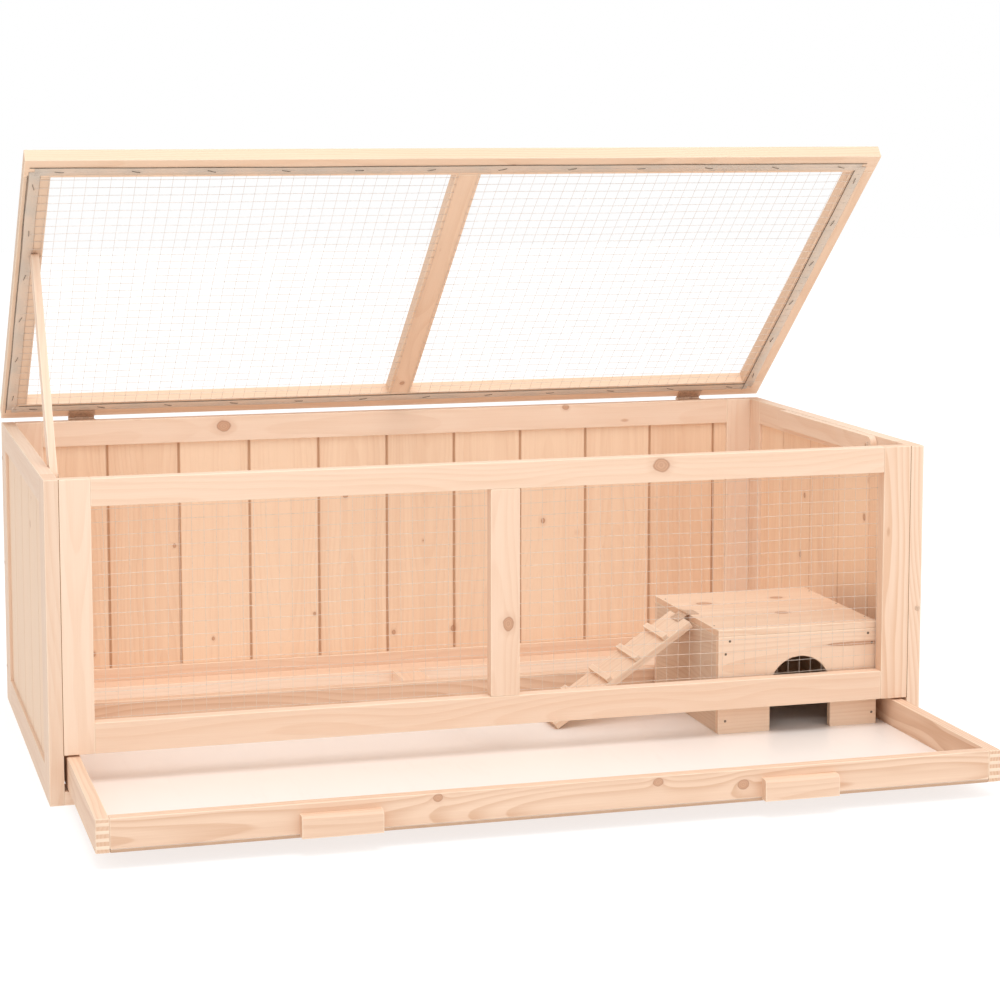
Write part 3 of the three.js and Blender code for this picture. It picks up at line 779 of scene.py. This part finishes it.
def seam_shadow_lines():
    """Thin dark lines where the side panels' front edges meet the front frame: painted shade in the seams."""
    builder = Builder((0, 0, 0), ((1, 0, 0), (0, 0, 1), (0, -1, 0)))
    low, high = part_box("front_left_stile")
    front = -low.y
    for x in (low.x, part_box("front_right_stile")[1].x):
        path = [(x + 0.1 * MM * wave(x, z), z, front - 0.2 * MM) for z in span(low.z, high.z, 0.02)]
        builder.tube(path, 0.55 * MM, 8)
    builder.make("front_seam_shadow_lines", "cage", seam_shadow_material())


def seam_shadow_material():
    material, t = new_material("painted_seam_shadow")
    place = t.add("ShaderNodeTexCoord", {}).outputs["Object"]
    mottle = t.noise(place, (40.0, 40.0, 40.0), 3.0)
    # Mottled dark brown: painted shade in the seams.
    color = t.mix(mottle, (0.42, 0.22, 0.11, 1), (0.26, 0.12, 0.06, 1))
    rough = t.math("ADD", 0.6, t.math("MULTIPLY", mottle, 0.3))
    surface(t, mottle, 0.0001, Base_Color=color, Roughness=rough)
    return material


def hinge_screws():
    origin, rows = lid_plane()
    lid = Builder(origin, rows)
    box = Builder((0, 0, 0), ((1, 0, 0), (0, 1, 0), (0, 0, 1)))
    leaf = [v.co - origin for v in NODES["hinge_left_lid_leaf"].data.vertices]
    leaf_face = max(p.dot(rows[2]) for p in leaf if p.dot(rows[1]) > 8 * MM)  # beyond the knuckle
    plate_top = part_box("back_top_rail")[1].z + 1.1 * MM
    for side in ("left", "right"):
        low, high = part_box(f"hinge_{side}_box_leaf")
        middle = (low.x + high.x) / 2
        for x in (middle - 11 * MM, middle + 11 * MM):
            shape = [(r * MM, n * MM) for r, n in FLUSH_HEAD]
            box.lathe(x, low.y + 7 * MM, [(r, plate_top + n) for r, n in shape])
            lid.lathe(x, 12 * MM, [(r, leaf_face + n) for r, n in shape])
    box.make("hinge_box_screws", "cage", STEEL)
    lid.make("hinge_lid_screws", "lid", STEEL)


# ---------- Finger joints ----------
def finger_joints():
    """The tray's front corners: fingers of the front board let into the ends of the side boards."""
    for side in ("left", "right"):
        low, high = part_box(f"tray_{side}_board")
        fingers = 4
        pitch = (high.z - low.z) / (2 * fingers + 1)
        builder = Builder((0, low.y, 0), ((1, 0, 0), (0, 0, 1), (0, -1, 0)))
        for i in range(fingers):
            z = low.z + (2 * i + 1.5) * pitch
            half = pitch * 0.46
            block_tube(builder, low.x + 0.4 * MM, high.x - 0.2 * MM, z - half, z + half, 0.16 * MM)
        material = wood_material("tray_front_board", "tray_wood", 5.1 if side == "left" else 7.7)
        builder.make(f"tray_{side}_fingers", "tray", material)


def block_tube(builder, u0, u1, v0, v1, rise):
    """A shallow block with chamfered edges, standing on the plane."""
    edge = 0.25 * MM
    outline = [(u0, v0), (u1, v0), (u1, v1), (u0, v1)]
    inner = [(u0 + edge, v0 + edge), (u1 - edge, v0 + edge), (u1 - edge, v1 - edge), (u0 + edge, v1 - edge)]
    first = len(builder.points)
    for ring, n in ((outline, -0.4 * MM), (outline, 0.0), (inner, rise)):
        builder.points += [builder.place(u, v, n) for u, v in ring]
    for level in range(2):
        for k in range(4):
            a = first + level * 4 + k
            b = first + level * 4 + (k + 1) % 4
            builder.faces.append((a, b, b + 4, a + 4))
    builder.faces.append((first + 3, first + 2, first + 1, first))
    builder.faces.append((first + 8, first + 9, first + 10, first + 11))


# ---------- Stage ----------
def stage():
    floor_mesh = bpy.data.meshes.new("floor")
    size = FLOOR_SIZE
    corners = [(-size, -size, 0), (size, -size, 0), (size, size, 0), (-size, size, 0)]
    floor_mesh.from_pydata(corners, [], [(0, 1, 2, 3)])
    floor = bpy.data.objects.new("floor", floor_mesh)
    bpy.context.scene.collection.objects.link(floor)
    material, t = new_material("pale_floor")
    grain = t.noise(t.add("ShaderNodeTexCoord", {}).outputs["Object"], (3.0, 3.0, 3.0))
    color = t.mix(grain, (0.37, 0.37, 0.37, 1), (0.35, 0.35, 0.35, 1))
    glow = {"Emission_Color": (1.0, 1.0, 1.0, 1), "Emission_Strength": FLOOR_GLOW}
    surface(t, grain, 0.0001, Base_Color=color, Roughness=0.85, **glow)
    floor_mesh.materials.append(material)

    world = bpy.data.worlds.new("studio")
    bpy.context.scene.world = world
    world.use_nodes = True
    t = Tree(world.node_tree)
    direction = t.split(t.add("ShaderNodeTexCoord", {}).outputs["Generated"])
    left = t.fade(t.step(direction[0], -0.1, -0.9), 1.0, WORLD_LEFT)
    lit = t.math("MULTIPLY", left, WORLD_LIGHT)
    seen = t.add("ShaderNodeLightPath", {}).outputs["Is Camera Ray"]
    background = world.node_tree.nodes["Background"]
    background.inputs[0].default_value = (1.0, 1.0, 1.0, 1)
    t.feed(background.inputs[1], t.fade(seen, lit, 1.0))

    for name, place, aim, size, power in LIGHTS:
        data = bpy.data.lights.new(name, "AREA")
        data.shape = "RECTANGLE"
        data.size, data.size_y = size
        data.energy = power
        lamp = bpy.data.objects.new(name, data)
        bpy.context.scene.collection.objects.link(lamp)
        lamp.location = place
        lamp.rotation_euler = (Vector(aim) - Vector(place)).to_track_quat("-Z", "Y").to_euler()
    bpy.context.scene.view_settings.view_transform = "Standard"


def camera():
    data = bpy.data.cameras.new("camera")
    data.lens = CAMERA_LENS
    data.shift_y = CAMERA_SHIFT
    data.clip_end = 60.0
    eye = bpy.data.objects.new("camera", data)
    bpy.context.scene.collection.objects.link(eye)
    eye.location = CAMERA_PLACE
    eye.rotation_euler = (math.radians(90 - CAMERA_DROP), 0, math.radians(-CAMERA_YAW))
    bpy.context.scene.camera = eye


camera()
stage()
dress_nodes()
front_net()
lid_net()
house_nails()
frame_screws()
hinge_screws()
seam_shadow_lines()
finger_joints()
